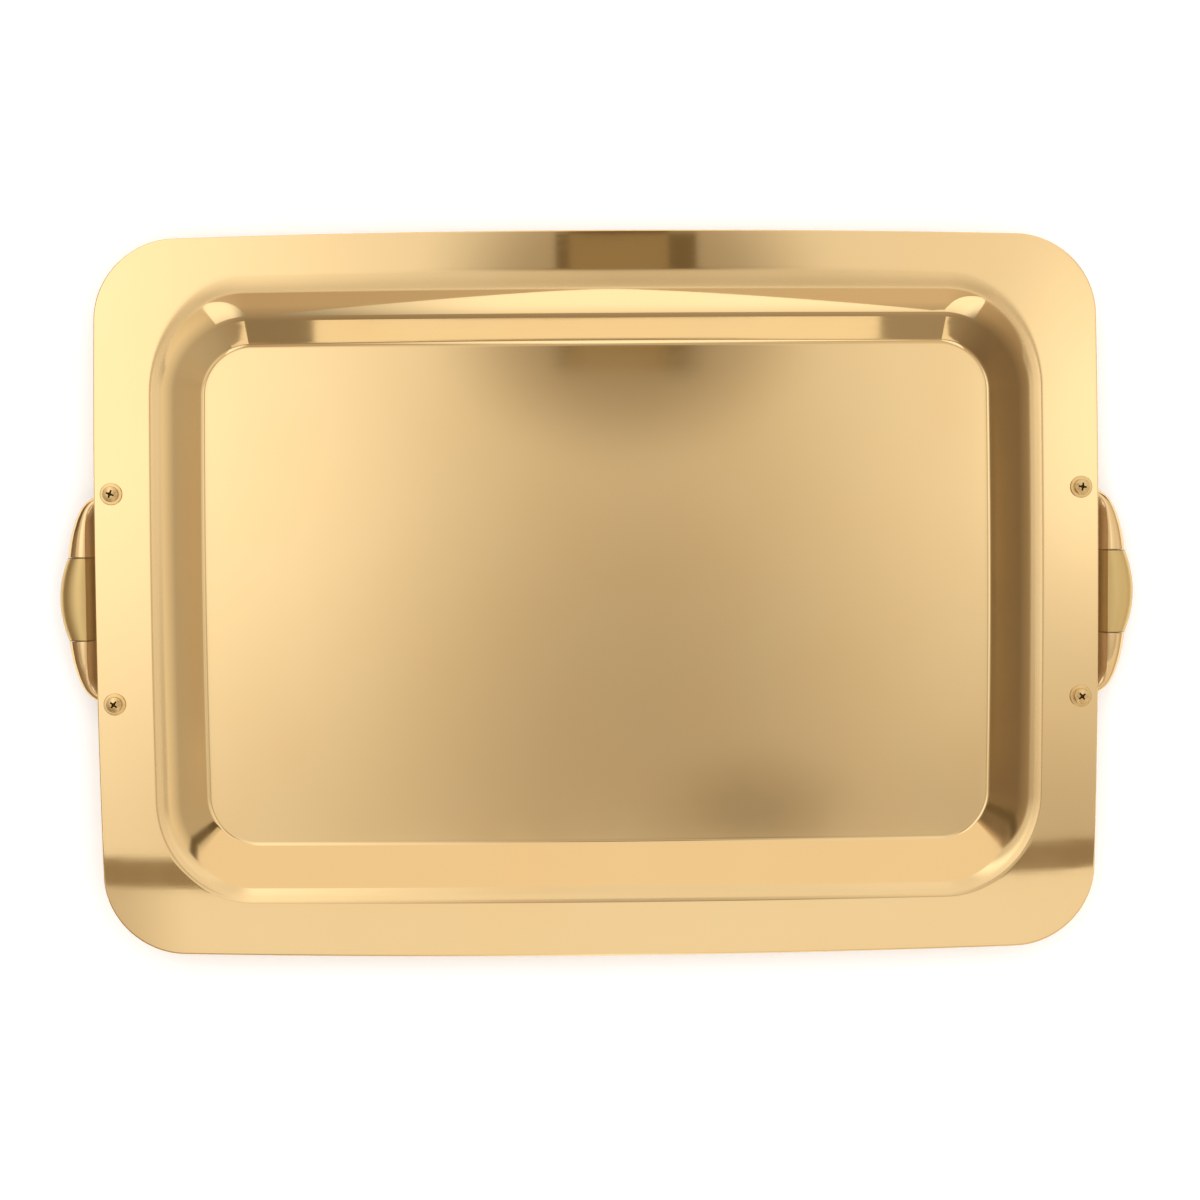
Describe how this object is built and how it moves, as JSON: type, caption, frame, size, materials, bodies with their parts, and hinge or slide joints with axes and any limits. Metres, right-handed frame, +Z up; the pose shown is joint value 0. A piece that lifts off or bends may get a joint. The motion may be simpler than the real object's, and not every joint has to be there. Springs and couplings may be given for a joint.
{
  "type": "serving tray",
  "caption": "Round-cornered rectangular serving tray of polished gold-coloured sheet metal, with a wide flange, a shallow well and a fixed bulged-grip handle bolted under each short side.",
  "frame": {"origin": "on the surface that the tray stands on, under the middle of the pan, which is the bottom centre of the whole object", "axes": "+X along the long sides towards the right handle, +Y towards the rear long side, +Z up out of the well"},
  "size_m": [0.4936, 0.3324, 0.0232],
  "materials": {
    "polished_sheet": "mirror polished, gold coloured",
    "polished_casting": "polished casting, gold coloured",
    "satin_casting": "satin, gold coloured",
    "fastener": "bright plated",
    "rod": "plain turned rod, hidden inside the grip"
  },
  "bodies": {
    "root": {"pan": "polished_sheet", "left_grip": "satin_casting", "left_tie_rod": "rod", "left_front_arm": "polished_casting", "left_front_screw": "fastener", "left_front_washer": "fastener", "left_rear_arm": "polished_casting", "left_rear_screw": "fastener", "left_rear_washer": "fastener", "right_grip": "satin_casting", "right_tie_rod": "rod", "right_front_arm": "polished_casting", "right_front_screw": "fastener", "right_front_washer": "fastener", "right_rear_arm": "polished_casting", "right_rear_screw": "fastener", "right_rear_washer": "fastener"}
  },
  "joints": []
}
